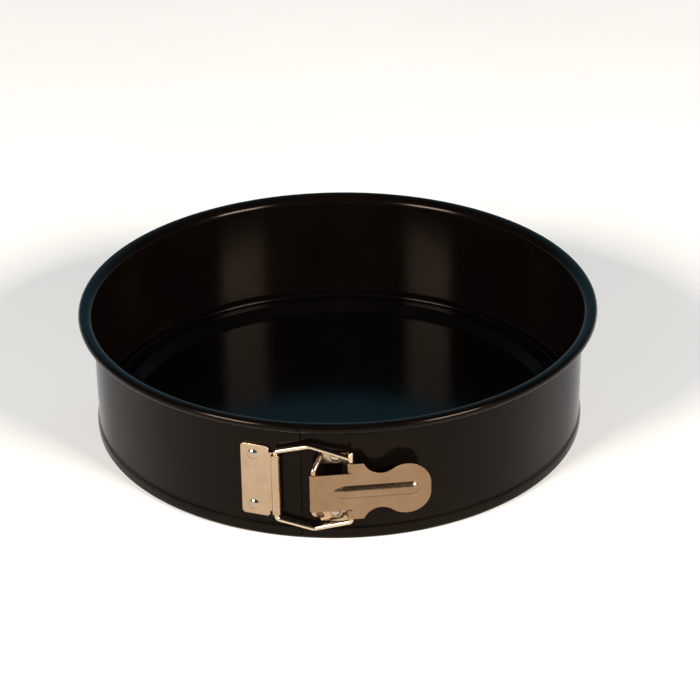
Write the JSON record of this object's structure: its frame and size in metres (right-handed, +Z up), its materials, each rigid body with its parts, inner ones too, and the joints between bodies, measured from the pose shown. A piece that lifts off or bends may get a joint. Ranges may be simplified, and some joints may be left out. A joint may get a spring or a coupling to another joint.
{
  "type": "springform pan",
  "caption": "Round springform cake pan: a dark split steel band with a wide turned-out rim, a wire-and-lever latch at the front, and a loose dished base.",
  "frame": {"origin": "on the pan's axis, at the flat underside of the base, which is the level the pan stands on", "axes": "+Z up along the pan's axis; the latch is at the front, on -Y, with its lever pointing to +X"},
  "size_m": [0.275, 0.2769, 0.0683],
  "materials": {
    "band_nonstick": "satin black non-stick coating on steel sheet",
    "base_nonstick": "smooth black non-stick coating on steel sheet",
    "latch_plate": "satin warm nickel-plated steel",
    "latch_wire": "bright plated steel wire",
    "rivet": "pressed plated steel"
  },
  "bodies": {
    "band_back": {"band_back": "band_nonstick"},
    "band_left": {"band_left": "band_nonstick", "hinge_plate": "latch_plate", "hinge_plate_rivet_upper": "rivet", "hinge_plate_rivet_lower": "rivet"},
    "band_right": {"band_right": "band_nonstick", "lever_bracket": "latch_plate", "bracket_rivet_upper": "rivet", "bracket_rivet_lower": "rivet"},
    "latch_lever": {"latch_lever": "latch_plate", "wire_bail_cross_leg": "latch_wire"},
    "wire_bail": {"wire_bail": "latch_wire"},
    "base_plate": {"base_plate": "base_nonstick"}
  },
  "joints": [
    {"name": "lever_swing", "type": "hinge", "parent": "band_right", "child": "latch_lever", "pos_m": [-0.0123, -0.1372, 0.0316], "axis": [0, 0, -1], "range_deg": [0, 130]},
    {"name": "band_right_spread", "type": "hinge", "parent": "band_back", "child": "band_right", "pos_m": [0.11053, 0.08179, 0.0335], "axis": [0, 0, 1], "range_deg": [0, 2.4]},
    {"name": "band_left_spread", "type": "hinge", "parent": "band_back", "child": "band_left", "pos_m": [-0.11053, 0.08179, 0.0335], "axis": [0, 0, -1], "range_deg": [0, 2.4]},
    {"name": "bail_swing", "type": "hinge", "parent": "band_left", "child": "wire_bail", "pos_m": [-0.03072, -0.1293, 0.0316], "axis": [0, 0, -1], "range_deg": [0, 31.92]},
    {"name": "base_lift", "type": "slide", "parent": "band_back", "child": "base_plate", "axis": [0, 0, 1], "range_m": [0, 0.08]}
  ],
  "couplings": [
    {"joint": "band_right_spread", "follows": "lever_swing", "ratio": 0.018327},
    {"joint": "band_left_spread", "follows": "lever_swing", "ratio": 0.018327},
    {"joint": "bail_swing", "follows": "lever_swing", "ratio": 0.24474}
  ]
}
